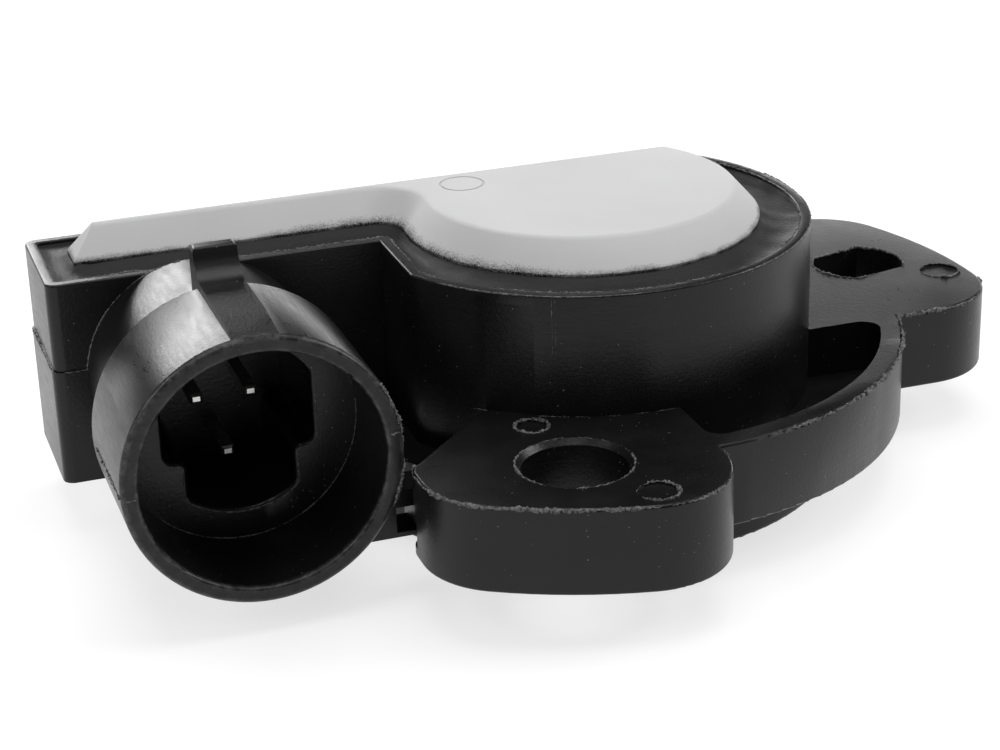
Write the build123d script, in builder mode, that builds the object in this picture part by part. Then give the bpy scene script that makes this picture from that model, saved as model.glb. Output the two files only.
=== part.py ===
from build123d import *
from math import acos, cos, degrees, radians, sin, tan
import os

# Throttle position sensor, in millimetres: a rotary potentiometer in a moulded housing.
# The rotor turns about Z, the mounting face is z = 0 and the pilot spigot hangs below it.
# The terminal arm runs along -X, and the connector's mouth faces -Y.

# Housing: drum and arm
drum_radius = 20.0
drum_flat_x = -18.1
back_y = 12.8
rim_z = 17.8
rim_wall = 0.95
rim_edge = 0.2
chamber_wall = 2.2
board_ledge = 0.6
floor_z = 4.1
arm_end_x = -46.6
arm_front_y = 0.5
arm_corner = 1.0
inner_corner = 0.4
arm_step = 0.15
arm_step_z = 10.1
groove_angles = (-133.5, -126.3, -121.8)
groove_depth = 0.32
groove_top_gap = 0.9

# Housing: flange, ears and spigot
flange_z = 7.33
flange_edge = 0.3
arc_radius = 28.2
arc_wall = 1.9
pocket_z = 2.7
pocket_corner = 1.5
front_ear_corner_share = 0.42105
rear_ear_corner_share = 0.3913
ear_side_corner = 2.0
front_ear_corner_room_share = 0.75
ear_side_corner_room_share = 0.2
front_ear_radius = 37.1
front_ear_x = -11.0
front_ear_width = 24.0
ear_side_angle = 45.0
front_hole_x = -10.7
front_hole_y = -26.7
front_hole_radius = 4.25
front_hole_chamfer = 0.45
rear_ear_radius = 38.4
rear_ear_width = 27.2
rear_slot_x = 29.7
rear_slot_y = 5.0
rear_slot_radius = 4.25
rear_slot_width = 6.6
rear_slot_angle = 13.0
spigot_radius = 22.4
spigot_wall = 2.4
spigot_depth = 4.95
spigot_edge = 0.5
base_lip = 1.0
ejector_marks = ((-6.6, -33.9, 1.65), (-11.5, -18.9, 1.4), (35.7, 0.1, 1.8))
ejector_mark_depth = 0.15
web_under_z = 1.7

# Housing: bearing hub and rotor stops
bore_radius = 5.2
hub_wall = 1.6
hub_top_z = 7.5
seal_seat_radius = 6.9
seal_seat_depth = 1.8
stop_inner_radius = 14.2
stop_span = 8.0
stop_gap_angle = 2.0

# Connector
connector_x = -34.33
connector_z = 8.93
mouth_y = -22.63
band_end_y = -10.1
shroud_radius = 11.16
shroud_bore_radius = 9.77
neck_radius = 9.6
socket_floor_y = -13.37
key_radius = 7.1
key_width = 12.2
key_foot_width = 8.7
key_shoulder_z = -2.3
key_corner = 0.8
key_floor_y = -2.0
shroud_edge = 0.5
shroud_bore_edge = 0.35
key_edge = 0.4
latch_width = 3.6
latch_mouth_rise = 0.05
latch_tooth_y = -18.3
latch_tooth_rise = 0.5
latch_ramp_y = -12.2
latch_ramp_length = 2.6
latch_rise = 2.9
latch_top_length = 1.4
latch_edge = 0.35
tie_front_y = -20.8
tie_depth = 3.3
tie_reach = 3.6
tie_low_z = 0.5
tie_top_z = 4.55
tie_window_x = 0.3
tie_window_width = 1.6
tie_window_z = 0.9
tie_window_height = 2.2

# Terminals and their solder
terminal_width = 1.0
terminal_thickness = 0.8
terminal_bend = 0.5
tip_y = -8.5
tip_chamfer = 0.2
upper_pin_spread = 4.5
upper_pin_rise = 0.8
lower_pin_drop = 4.2
upper_riser_y = 5.6
lower_riser_y = 8.4
riser_stand = 0.9
solder_radius = 1.15
solder_top_radius = 0.75
solder_height = 0.6

# Element board and its printed tracks
board_z = 12.5
board_thickness = 1.0
board_clearance = 0.15
board_hole_radius = 3.8
terminal_hole_clearance = 0.15
track_thickness = 0.1
track_width = 1.2
inner_track_radius = 6.6
outer_track_radius = 8.5
track_overrun = 8.0

# Rotor, wiper and return spring
rotor_travel = 100.0
running_clearance = 0.05
rotor_end_z = -0.1
disc_z = 8.1
disc_thickness = 2.0
disc_radius = 9.5
tab_radius = 15.6
tab_span = 16.0
tab_start_angle = -140.0
drive_slot_length = 7.6
drive_slot_width = 4.4
drive_slot_depth = 7.0
pivot_radius = 2.6
pivot_gap = 0.2
wiper_start_angle = -130.0
wiper_thickness = 0.2
wiper_plate_span = 40.0
wiper_plate_lead = 22.0
wiper_plate_margin = 0.9
finger_width = 0.9
finger_length = 4.0
finger_contact = 0.6
contact_gap = 0.04
stake_radius = 0.5
stake_height = 0.7
spring_wire = 0.7
spring_radius = 7.9
spring_leg_wire = 0.6
spring_pitch = 0.9
spring_turns = 3.25
spring_floor_gap = 0.1
spring_leg = 1.1
spring_hole_clearance = 0.1

# Shaft seal
seal_height = 1.6
seal_lip_clearance = 0.08
seal_seat_clearance = 0.03

# Cover and sealant
cover_seat_z = 15.9
cover_clearance = 0.2
cover_plate = 1.0
moat_width = 3.45
dome_foot_z = 18.0
dome_top_z = 20.5
dome_flank = 2.2
dome_back_flank = 1.0
dome_blend = 2.5
dome_end_gap = 3.1
dome_edge = 0.8
ridge_width = 0.4
dome_wall = 1.9
dome_roof = 1.6
sealant_top_z = 17.75
ring_mark_x = -9.3
ring_mark_y = 4.6
ring_mark_radius = 2.0
ring_mark_width = 0.2
ring_mark_depth = 0.1

# Sizes that follow from those above
disc_top_z = disc_z + disc_thickness
track_z = board_z - track_thickness
board_top_z = board_z + board_thickness
cover_plate_z = cover_seat_z + cover_plate
moat_inset = rim_wall + moat_width
hub_radius = bore_radius + hub_wall
barrel_radius = bore_radius - running_clearance
arm_inner_y = arm_front_y + chamber_wall + board_ledge
spring_start_z = floor_z + spring_floor_gap + spring_wire / 2
spring_height = spring_pitch * spring_turns
spring_end_angle = 360.0 * (spring_turns % 1)
terminals = {
    "terminal_supply": (connector_x - upper_pin_spread / 2, connector_z + upper_pin_rise, upper_riser_y),
    "terminal_signal": (connector_x + upper_pin_spread / 2, connector_z + upper_pin_rise, upper_riser_y),
    "terminal_ground": (connector_x, connector_z - lower_pin_drop, lower_riser_y),
}


def body_plan(sketch, inset):
    """Plan of the drum and arm together, every wall moved inwards by inset."""
    Circle(drum_radius - inset)
    with Locations((drum_flat_x + inset, 0)):
        Rectangle(drum_radius, 2 * drum_radius, align=(Align.MAX, Align.CENTER), mode=Mode.SUBTRACT)
    with Locations((0, back_y - inset)):
        Rectangle(2 * drum_radius, drum_radius, align=(Align.CENTER, Align.MIN), mode=Mode.SUBTRACT)
    with Locations((arm_end_x + inset, arm_front_y + inset)):
        Rectangle(-arm_end_x - inset, back_y - arm_front_y - 2 * inset, align=(Align.MIN, Align.MIN))
    fillet(sketch.vertices().group_by(Axis.X)[0], max(arm_corner - inset, inner_corner))


def polar(radius, angle):
    """Point of the XY plane at a radius and angle about the rotor axis."""
    return (radius * cos(radians(angle)), radius * sin(radians(angle)))


def outer_corners(sketch, radius):
    """Corners of a sketch that lie on the circle of that radius."""
    return sketch.vertices().filter_by(lambda v: abs(v.center().length - radius) < 0.01)


def fillet_room(length, turn):
    """Radius of the fillet that takes up a length of a straight side, at a corner that turns by that angle."""
    return length / tan(radians(turn / 2))


def ring_sector(inner, outer, start, span):
    """Part of a flat ring, from the start angle through span degrees."""
    with BuildLine() as outline:
        inside = CenterArc((0, 0), inner, start, span)
        outside = CenterArc((0, 0), outer, start, span)
        Line(inside @ 0, outside @ 0)
        Line(inside @ 1, outside @ 1)
    make_face(outline.edges())


def connector_plane(y):
    """Plane across the connector at y, with X to the right and Z up."""
    return Plane((connector_x, y, connector_z), x_dir=(1, 0, 0), z_dir=(0, -1, 0))


def radial_plane(radius, angle):
    """Upright plane at a radius and angle about the rotor axis, facing outwards, with X along the turn."""
    c = cos(radians(angle))
    s = sin(radians(angle))
    return Plane((radius * c, radius * s, 0), x_dir=(-s, c, 0), z_dir=(c, s, 0))


# Moulded housing: drum, terminal arm, flange with two ears, pilot spigot and connector shroud
with BuildPart() as housing:
    with BuildSketch() as front_ear:
        Circle(front_ear_radius)
        with Locations((front_ear_x, 0)):
            Rectangle(front_ear_width, front_ear_radius, align=(Align.CENTER, Align.MAX), mode=Mode.INTERSECT)
        Rectangle(
            3 * front_ear_radius,
            front_ear_radius,
            rotation=ear_side_angle,
            align=(Align.CENTER, Align.MIN),
            mode=Mode.SUBTRACT,
        )
        front_ear_reach = front_ear_radius - drum_radius
        # The ear's short left side limits the fillets at its two ends
        left_side = front_ear.edges().filter_by(Axis.Y).sort_by(Axis.X)[0].length
        corner_turn = degrees(acos((front_ear_width / 2 - front_ear_x) / front_ear_radius))
        corner_room = fillet_room(front_ear_corner_room_share * left_side, corner_turn)
        side_corner_room = fillet_room(ear_side_corner_room_share * left_side, ear_side_angle)
        front_ear_corner = min(front_ear_corner_share * front_ear_reach, corner_room)
        fillet(outer_corners(front_ear, front_ear_radius), front_ear_corner)
        left_top = front_ear.vertices().group_by(Axis.X)[0].sort_by(Axis.Y)[-1]
        fillet(left_top, min(ear_side_corner, side_corner_room))
    extrude(amount=flange_z)

    with BuildSketch() as rear_ear:
        Circle(rear_ear_radius)
        with Locations((0, rear_slot_y)):
            Rectangle(rear_ear_radius, rear_ear_width, align=(Align.MIN, Align.CENTER), mode=Mode.INTERSECT)
        Rectangle(
            3 * rear_ear_radius,
            rear_ear_radius,
            rotation=ear_side_angle,
            align=(Align.CENTER, Align.MIN),
            mode=Mode.SUBTRACT,
        )
        rear_ear_reach = rear_ear_radius - drum_radius
        fillet(outer_corners(rear_ear, rear_ear_radius), rear_ear_corner_share * rear_ear_reach)
    extrude(amount=flange_z)

    with BuildSketch():
        Circle(arc_radius)
        Rectangle(arc_radius, arc_radius, align=(Align.MIN, Align.MAX), mode=Mode.INTERSECT)
    extrude(amount=flange_z)
    fillet(housing.edges().filter_by(Plane.XY), flange_edge)
    with BuildSketch():
        Circle(spigot_radius + base_lip)
    extrude(amount=pocket_z)

    # Open pocket between the drum and the arc wall
    pocket_corner_x = front_ear_x + front_ear_width / 2
    pocket_corner_y = rear_slot_y - rear_ear_width / 2
    with BuildSketch(Plane.XY.offset(flange_z)) as pocket:
        Circle(arc_radius - arc_wall)
        with Locations((pocket_corner_x, pocket_corner_y)):
            Rectangle(arc_radius, arc_radius, align=(Align.MIN, Align.MAX), mode=Mode.INTERSECT)
        fillet(pocket.vertices().filter_by(lambda v: v.center().length > drum_radius), pocket_corner)
    extrude(amount=pocket_z - flange_z, mode=Mode.SUBTRACT)

    with BuildSketch() as body:
        body_plan(body, 0)
    extrude(amount=rim_z)
    fillet(housing.faces().sort_by(Axis.Z)[-1].edges(), rim_edge)

    # Shallow groove down the drum's front, beside an ejector pin
    groove_start, groove_middle, groove_end = groove_angles
    with BuildSketch(Plane.XY.offset(flange_z)):
        with BuildLine():
            Polyline(
                polar(drum_radius, groove_start),
                polar(drum_radius - groove_depth, groove_middle),
                polar(drum_radius, groove_end),
                polar(drum_radius + groove_depth, groove_middle),
                close=True,
            )
        make_face()
    extrude(amount=rim_z - groove_top_gap - flange_z, mode=Mode.SUBTRACT)

    # Lower half of the arm, a little proud of the mould's parting line
    with BuildSketch() as lower_arm:
        with Locations((arm_end_x - arm_step, arm_front_y - arm_step)):
            Rectangle(drum_flat_x - arm_end_x, back_y - arm_front_y + arm_step, align=(Align.MIN, Align.MIN))
        fillet(lower_arm.vertices().group_by(Axis.X)[0], arm_corner)
    extrude(amount=arm_step_z)

    # Connector shroud on its narrower neck, and the latch that a plug snaps over
    with BuildSketch(connector_plane(mouth_y)):
        Circle(shroud_radius)
    extrude(amount=mouth_y - band_end_y)
    shroud_rims = housing.edges().filter_by(GeomType.CIRCLE).filter_by(
        lambda e: abs(e.radius - shroud_radius) < 0.01 and e.center().X < drum_flat_x
    )
    fillet(shroud_rims, shroud_edge)
    with BuildSketch(connector_plane(band_end_y)):
        Circle(neck_radius)
    extrude(amount=band_end_y - arm_front_y)
    shroud_top_z = connector_z + shroud_radius
    latch_top_z = shroud_top_z + latch_rise
    latch_back_y = latch_ramp_y + latch_ramp_length + latch_top_length
    with BuildSketch(Plane.YZ.offset(connector_x - latch_width / 2)):
        with BuildLine():
            Polyline(
                (latch_ramp_y, shroud_top_z + latch_tooth_rise),
                (latch_tooth_y, shroud_top_z + latch_tooth_rise),
                (mouth_y, shroud_top_z + latch_mouth_rise),
                (mouth_y, connector_z + shroud_bore_radius),
                (latch_back_y, connector_z),
                (latch_back_y, latch_top_z),
                (latch_ramp_y + latch_ramp_length, latch_top_z),
            )
            TangentArc(
                (latch_ramp_y, shroud_top_z + latch_tooth_rise),
                (latch_ramp_y + latch_ramp_length, latch_top_z),
                tangent=(1, 0),
            )
        make_face()
    extrude(amount=latch_width)
    fillet(housing.faces().sort_by(Axis.Z)[-1].edges(), latch_edge)

    # Tie between the shroud and the front ear, with a small window
    tie_x = connector_x + shroud_radius
    with Locations((tie_x, tie_front_y, tie_low_z)):
        Box(
            2 * tie_reach,
            tie_depth,
            tie_top_z - tie_low_z,
            align=(Align.CENTER, Align.MIN, Align.MIN),
        )
    with Locations((tie_x + tie_window_x, tie_front_y, tie_window_z)):
        Box(
            tie_window_width,
            2 * tie_depth,
            tie_window_height,
            align=(Align.CENTER, Align.CENTER, Align.MIN),
            mode=Mode.SUBTRACT,
        )

    # Open space in the shroud: seal bore, then the keyed socket round the pins
    with BuildSketch(connector_plane(mouth_y)):
        Circle(shroud_bore_radius)
    extrude(amount=mouth_y - socket_floor_y, mode=Mode.SUBTRACT)
    bore_mouth = housing.edges().filter_by(GeomType.CIRCLE).filter_by(
        lambda e: abs(e.radius - shroud_bore_radius) < 0.01 and e.center().Y < socket_floor_y - 1
    )
    fillet(bore_mouth, shroud_bore_edge)
    with BuildSketch(connector_plane(socket_floor_y)) as key:
        Circle(key_radius)
        Rectangle(key_width, 2 * key_radius, mode=Mode.INTERSECT)
        for side, lean in ((1, Align.MIN), (-1, Align.MAX)):
            with Locations((side * key_foot_width / 2, key_shoulder_z)):
                Rectangle(key_width, key_radius, align=(lean, Align.MAX), mode=Mode.SUBTRACT)
        fillet(key.vertices(), key_corner)
    extrude(amount=socket_floor_y - key_floor_y, mode=Mode.SUBTRACT)
    upright_faces = housing.faces().filter_by(Plane.XZ)
    socket_floor = upright_faces.sort_by_distance((connector_x, socket_floor_y, connector_z))[0]
    fillet(socket_floor.inner_wires()[0].edges(), key_edge)

    # Chamber, stepped for the board and for the cover
    for inset, low, high in (
        (chamber_wall + board_ledge, floor_z, board_z),
        (chamber_wall, board_z, cover_seat_z),
        (rim_wall, cover_seat_z, rim_z),
    ):
        with BuildSketch(Plane.XY.offset(low)) as step:
            body_plan(step, inset)
        extrude(amount=high - low, mode=Mode.SUBTRACT)
    rim_face = housing.faces().filter_by_position(Axis.Z, rim_z - 0.01, rim_z + 0.01)[0]
    fillet(rim_face.inner_wires()[0].edges(), rim_edge)

    # Slots that the terminals are moulded into
    for pin_x, pin_z, riser_y in terminals.values():
        with Locations((pin_x, key_floor_y, pin_z)):
            Box(
                terminal_width,
                arm_inner_y - key_floor_y,
                terminal_thickness,
                align=(Align.CENTER, Align.MIN, Align.CENTER),
                mode=Mode.SUBTRACT,
            )

    # Spigot with its recess, and the bearing hub
    with BuildSketch():
        Circle(spigot_radius)
    extrude(amount=-spigot_depth)
    fillet(housing.faces().sort_by(Axis.Z)[0].edges(), spigot_edge)
    with BuildSketch(Plane.XY.offset(-spigot_depth)):
        Circle(spigot_radius - spigot_wall)
    extrude(amount=spigot_depth + web_under_z, mode=Mode.SUBTRACT)
    with BuildSketch(Plane.XY.offset(web_under_z)):
        Circle(hub_radius)
    extrude(amount=hub_top_z - web_under_z)
    with BuildSketch(Plane.XY.offset(web_under_z)):
        Circle(bore_radius)
    extrude(amount=hub_top_z - web_under_z, mode=Mode.SUBTRACT)
    with BuildSketch(Plane.XY.offset(web_under_z)):
        Circle(seal_seat_radius)
    extrude(amount=seal_seat_depth, mode=Mode.SUBTRACT)

    # Stops for the rotor's tab, and the hole for the spring's lower leg
    stop_reach = tab_span / 2 + stop_gap_angle
    with BuildSketch(Plane.XY.offset(floor_z)):
        ring_sector(
            stop_inner_radius,
            drum_radius - chamber_wall,
            tab_start_angle - stop_reach - stop_span,
            stop_span,
        )
        ring_sector(
            stop_inner_radius,
            drum_radius - chamber_wall,
            tab_start_angle + rotor_travel + stop_reach,
            stop_span,
        )
    extrude(amount=disc_top_z - floor_z)
    with Locations((spring_radius, 0, floor_z)):
        Cylinder(
            spring_wire / 2 + spring_hole_clearance,
            2 * spring_leg,
            mode=Mode.SUBTRACT,
        )

    # Round marks of the ejector pins on the ears
    with BuildSketch(Plane.XY.offset(flange_z)):
        for mark_x, mark_y, mark_radius in ejector_marks:
            with Locations((mark_x, mark_y)):
                Circle(mark_radius)
    extrude(amount=-ejector_mark_depth, mode=Mode.SUBTRACT)

    # Fixing holes
    with Locations((front_hole_x, front_hole_y, flange_z)):
        CounterSinkHole(
            front_hole_radius,
            front_hole_radius + front_hole_chamfer,
            depth=flange_z,
            counter_sink_angle=90,
        )
    with BuildSketch():
        with Locations((rear_slot_x, rear_slot_y)):
            Circle(rear_slot_radius)
            Rectangle(3 * rear_slot_radius, rear_slot_width, rotation=rear_slot_angle, mode=Mode.INTERSECT)
    extrude(amount=flange_z, mode=Mode.SUBTRACT)
housing.part.label = "housing"

# Grey moulded cover: a plate on the housing's ledge with a sloping dome
dome_radius = drum_radius - moat_inset
dome_front_y = arm_front_y + moat_inset
dome_back_y = back_y - moat_inset
dome_end_x = arm_end_x + dome_end_gap
ridge_back_y = dome_back_y - dome_back_flank


def dome_plan(sketch, radius, end_x, front_y, rear_y, blend):
    """Plan of the cover's dome: a round end with a straight back, blended into a narrow arm."""
    Circle(radius)
    with Locations((0, rear_y)):
        Rectangle(2 * drum_radius, drum_radius, align=(Align.CENTER, Align.MIN), mode=Mode.SUBTRACT)
    with Locations((end_x, front_y)):
        Rectangle(-end_x, rear_y - front_y, align=(Align.MIN, Align.MIN))
    fillet(sketch.vertices().sort_by_distance((-radius, front_y))[0], blend)


with BuildPart() as cover:
    with BuildSketch(Plane.XY.offset(cover_seat_z)) as plate:
        body_plan(plate, rim_wall + cover_clearance)
    extrude(amount=cover_plate)
    with BuildSketch(Plane.XY.offset(cover_plate_z)) as plinth:
        dome_plan(plinth, dome_radius, dome_end_x, dome_front_y, dome_back_y, dome_blend)
    extrude(amount=dome_foot_z - cover_plate_z)
    with BuildSketch(Plane.XY.offset(dome_foot_z)) as dome_foot:
        dome_plan(dome_foot, dome_radius, dome_end_x, dome_front_y, dome_back_y, dome_blend)
    with BuildSketch(Plane.XY.offset(dome_top_z)) as dome_top:
        dome_plan(
            dome_top,
            dome_radius - dome_flank,
            dome_end_x + dome_flank,
            ridge_back_y - ridge_width,
            ridge_back_y,
            dome_blend + dome_flank,
        )
    loft(ruled=True)
    crown = cover.faces().sort_by(Axis.Z)[-1]
    fillet(crown.edges().filter_by(GeomType.CIRCLE), dome_edge)

    # Ring left by an ejector pin
    with BuildSketch(Plane.XY.offset(dome_top_z)):
        with Locations((ring_mark_x, ring_mark_y)):
            Circle(ring_mark_radius)
            Circle(ring_mark_radius - ring_mark_width, mode=Mode.SUBTRACT)
    extrude(amount=-ring_mark_depth, mode=Mode.SUBTRACT)

    # Hollow under the dome, with the post that keeps the rotor down
    with BuildSketch(Plane.XY.offset(cover_seat_z)):
        Circle(dome_radius - dome_wall)
        with Locations((0, ridge_back_y - dome_wall)):
            Rectangle(2 * drum_radius, drum_radius, align=(Align.CENTER, Align.MIN), mode=Mode.SUBTRACT)
    extrude(amount=dome_top_z - dome_roof - cover_seat_z, mode=Mode.SUBTRACT)
    with BuildSketch(Plane.XY.offset(board_top_z + pivot_gap)):
        Circle(pivot_radius)
    extrude(amount=dome_top_z - dome_roof - board_top_z - pivot_gap)
cover.part.label = "cover"

# Black potting compound in the moat between the rim and the cover
with BuildPart() as cover_sealant:
    with BuildSketch(Plane.XY.offset(cover_plate_z)) as outer:
        body_plan(outer, rim_wall)
    extrude(amount=sealant_top_z - cover_plate_z)
    with BuildSketch(Plane.XY.offset(cover_plate_z)) as inner:
        dome_plan(inner, dome_radius, dome_end_x, dome_front_y, dome_back_y, dome_blend)
    extrude(amount=sealant_top_z - cover_plate_z, mode=Mode.SUBTRACT)
cover_sealant.part.label = "cover_sealant"

# Element board, seated on the housing's ledge
with BuildPart() as element_board:
    with BuildSketch(Plane.XY.offset(board_z)) as plan:
        body_plan(plan, chamber_wall + board_clearance)
        Circle(board_hole_radius, mode=Mode.SUBTRACT)
        for pin_x, pin_z, riser_y in terminals.values():
            with Locations((pin_x, riser_y)):
                Rectangle(
                    terminal_width + 2 * terminal_hole_clearance,
                    terminal_thickness + 2 * terminal_hole_clearance,
                    mode=Mode.SUBTRACT,
                )
    extrude(amount=board_thickness)
element_board.part.label = "element_board"


def printed_track(radius, label):
    """Ring sector printed on the board's underside, as long as the wiper's travel."""
    with BuildPart() as track:
        with BuildSketch(Plane.XY.offset(track_z)):
            ring_sector(
                radius - track_width / 2,
                radius + track_width / 2,
                wiper_start_angle - track_overrun,
                rotor_travel + 2 * track_overrun,
            )
        extrude(amount=track_thickness)
    track.part.label = label
    return track.part


resistive_track = printed_track(inner_track_radius, "resistive_track")
collector_track = printed_track(outer_track_radius, "collector_track")


def terminal(pin_x, pin_z, riser_y, label):
    """Bent blade: a pin along Y that turns up through the board."""
    half = terminal_thickness / 2
    top_z = board_top_z + riser_stand
    with BuildPart() as blade:
        with BuildSketch(Plane.YZ.offset(pin_x - terminal_width / 2)) as side:
            with BuildLine():
                Polyline(
                    (tip_y, pin_z - half),
                    (riser_y + half, pin_z - half),
                    (riser_y + half, top_z),
                    (riser_y - half, top_z),
                    (riser_y - half, pin_z + half),
                    (tip_y, pin_z + half),
                    close=True,
                )
            make_face()
            fillet(side.vertices().sort_by_distance((riser_y + half, pin_z - half))[0], terminal_bend)
        extrude(amount=terminal_width)
        chamfer(blade.faces().sort_by(Axis.Y)[0].edges(), tip_chamfer)
    blade.part.label = label
    return blade.part


terminal_parts = {}
for label, (pin_x, pin_z, riser_y) in terminals.items():
    terminal_parts[label] = terminal(pin_x, pin_z, riser_y, label)

# Solder round each terminal on top of the board
with BuildPart() as solder_joints:
    for pin_x, pin_z, riser_y in terminals.values():
        with Locations((pin_x, riser_y, board_top_z)):
            Cone(
                solder_radius,
                solder_top_radius,
                solder_height,
                align=(Align.CENTER, Align.CENTER, Align.MIN),
            )
            Box(
                terminal_width,
                terminal_thickness,
                solder_height,
                align=(Align.CENTER, Align.CENTER, Align.MIN),
                mode=Mode.SUBTRACT,
            )
solder_joints.part.label = "solder_joints"

# Rotor: a barrel in the bearing hub, with a disc that carries the wiper
wiper_middle_radius = (inner_track_radius + outer_track_radius) / 2
wiper_plate_width = outer_track_radius - inner_track_radius + wiper_plate_margin
wiper_plate_start = wiper_start_angle - wiper_plate_lead - wiper_plate_span
stake_angles = [wiper_plate_start + share * wiper_plate_span for share in (0.2, 0.6)]
with BuildPart() as rotor:
    with BuildSketch(Plane.XY.offset(rotor_end_z)):
        Circle(barrel_radius)
    extrude(amount=disc_z - rotor_end_z)
    with BuildSketch(Plane.XY.offset(disc_z)):
        Circle(disc_radius)
        ring_sector(hub_radius, tab_radius, tab_start_angle - tab_span / 2, tab_span)
    extrude(amount=disc_thickness)
    with BuildSketch(Plane.XY.offset(disc_top_z)):
        Circle(pivot_radius)
    extrude(amount=board_top_z - disc_top_z)
    with BuildSketch(Plane.XY.offset(rotor_end_z)):
        SlotOverall(drive_slot_length, drive_slot_width)
    extrude(amount=drive_slot_depth, mode=Mode.SUBTRACT)
    with BuildSketch(Plane.XY.offset(disc_top_z)):
        for angle in stake_angles:
            with Locations(radial_plane(wiper_middle_radius, angle).origin):
                Circle(stake_radius)
    extrude(amount=stake_height)
    with Locations(radial_plane(spring_radius, spring_end_angle).origin + (0, 0, disc_z)):
        Cylinder(spring_wire / 2 + spring_hole_clearance, 2 * disc_thickness, mode=Mode.SUBTRACT)
rotor.part.label = "rotor"

# Sprung metal wiper: a plate staked to the rotor, with one finger for each track
contact_z = track_z - contact_gap
with BuildPart() as wiper:
    with BuildSketch(Plane.XY.offset(disc_top_z)):
        ring_sector(
            wiper_middle_radius - wiper_plate_width / 2,
            wiper_middle_radius + wiper_plate_width / 2,
            wiper_plate_start,
            wiper_plate_span,
        )
        for angle in stake_angles:
            with Locations(radial_plane(wiper_middle_radius, angle).origin):
                Circle(stake_radius, mode=Mode.SUBTRACT)
    extrude(amount=wiper_thickness)
    for radius in (inner_track_radius, outer_track_radius):
        with BuildSketch(radial_plane(radius - finger_width / 2, wiper_start_angle)):
            with BuildLine():
                Polyline(
                    (-finger_length, disc_top_z),
                    (-finger_length, disc_top_z + wiper_thickness),
                    (-finger_contact / 2, contact_z),
                    (finger_contact / 2, contact_z),
                    (finger_contact / 2, contact_z - wiper_thickness),
                    (wiper_thickness - finger_contact / 2, contact_z - wiper_thickness),
                    (wiper_thickness - finger_length, disc_top_z),
                    close=True,
                )
            make_face()
        extrude(amount=finger_width)
wiper.part.label = "wiper"

# Return spring round the hub, with a leg down into the housing and a leg up into the rotor
with BuildPart() as return_spring:
    with BuildLine() as coil:
        Helix(spring_pitch, spring_height, spring_radius, center=(0, 0, spring_start_z))
    with BuildSketch(Plane(coil.line @ 0, z_dir=coil.line % 0)):
        Circle(spring_wire / 2)
    sweep(is_frenet=True)
    with Locations(coil.line @ 0):
        Cylinder(spring_leg_wire / 2, spring_leg, align=(Align.CENTER, Align.CENTER, Align.MAX))
    with Locations(coil.line @ 1):
        Cylinder(
            spring_leg_wire / 2,
            disc_z + spring_leg - spring_start_z - spring_height,
            align=(Align.CENTER, Align.CENTER, Align.MIN),
        )
return_spring.part.label = "return_spring"

# Rubber seal round the rotor, pressed into the hub from below
with BuildPart() as shaft_seal:
    with BuildSketch(Plane.XY.offset(web_under_z + seal_seat_depth - seal_height)):
        Circle(seal_seat_radius - seal_seat_clearance)
        Circle(barrel_radius + seal_lip_clearance, mode=Mode.SUBTRACT)
    extrude(amount=seal_height)
shaft_seal.part.label = "shaft_seal"

os.makedirs("parts", exist_ok=True)
for piece in (
    housing.part,
    cover.part,
    cover_sealant.part,
    element_board.part,
    resistive_track,
    collector_track,
    *terminal_parts.values(),
    solder_joints.part,
    rotor.part,
    wiper.part,
    return_spring.part,
    shaft_seal.part,
):
    export_step(piece, f"parts/{piece.label}.step")
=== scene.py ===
import math
import random

import bpy
from mathutils import Matrix, Vector, kdtree, noise


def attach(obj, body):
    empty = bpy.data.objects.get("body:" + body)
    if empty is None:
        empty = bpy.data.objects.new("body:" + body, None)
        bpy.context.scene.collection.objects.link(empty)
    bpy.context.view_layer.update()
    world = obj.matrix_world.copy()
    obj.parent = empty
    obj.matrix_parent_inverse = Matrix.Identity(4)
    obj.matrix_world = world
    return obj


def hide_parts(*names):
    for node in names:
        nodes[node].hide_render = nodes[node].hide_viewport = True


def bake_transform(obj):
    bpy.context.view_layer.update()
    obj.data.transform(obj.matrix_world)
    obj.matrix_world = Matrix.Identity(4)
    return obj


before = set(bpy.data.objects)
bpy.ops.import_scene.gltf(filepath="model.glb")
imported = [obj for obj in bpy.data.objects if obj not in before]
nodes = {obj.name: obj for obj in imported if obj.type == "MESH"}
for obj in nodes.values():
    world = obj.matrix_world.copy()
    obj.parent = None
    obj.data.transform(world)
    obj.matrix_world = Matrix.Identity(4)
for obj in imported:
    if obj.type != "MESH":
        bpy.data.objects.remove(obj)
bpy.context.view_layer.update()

# Housing: one moulding of black glass-filled nylon, with drum, terminal arm, flange, spigot and shroud.
# It comes from a two-part mould with side cores, and carries every other piece of the sensor.
# Its skin is satin, faintly grained, with fine drag lines, a cloudy gloss and a little dust.
MM = 0.001
MERGE_DISTANCE = 0.0005 * MM
SMOOTH_ANGLE = math.radians(34)
HOUSING_BLACK = (0.004, 0.004, 0.0042, 1)
HOUSING_BLACK_PALE = (0.008, 0.008, 0.0083, 1)
HOUSING_ROUGH = (0.29, 0.34)
HOUSING_SHEEN = 0.3
DUST_GREY = (0.2, 0.2, 0.196, 1)
CLOUD_SPAN = (0.3, 0.7)
DRAG_SPAN = (0.35, 0.7)
DRAG_ROUGH = (-0.03, 0.04)
# Pale of the mouth lip's scuffs and of its painted edge highlights, over the lip's first
# SCUFF_AND_HIGHLIGHT_DEPTH millimetres
SCUFF_AND_HIGHLIGHT_GREY = (0.12, 0.12, 0.118, 1)
SCUFF_AND_HIGHLIGHT_DEPTH = 0.6
MOUTH_Y = -22.63
SHROUD_X = -34.33
SHROUD_Z = 8.93
SHROUD_RADIUS = 11.16
BORE_RADIUS = 9.77


def activate(piece):
    """Selects one piece alone, for the operators that follow."""
    bpy.ops.object.select_all(action="DESELECT")
    bpy.context.view_layer.objects.active = piece
    piece.select_set(True)


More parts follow.
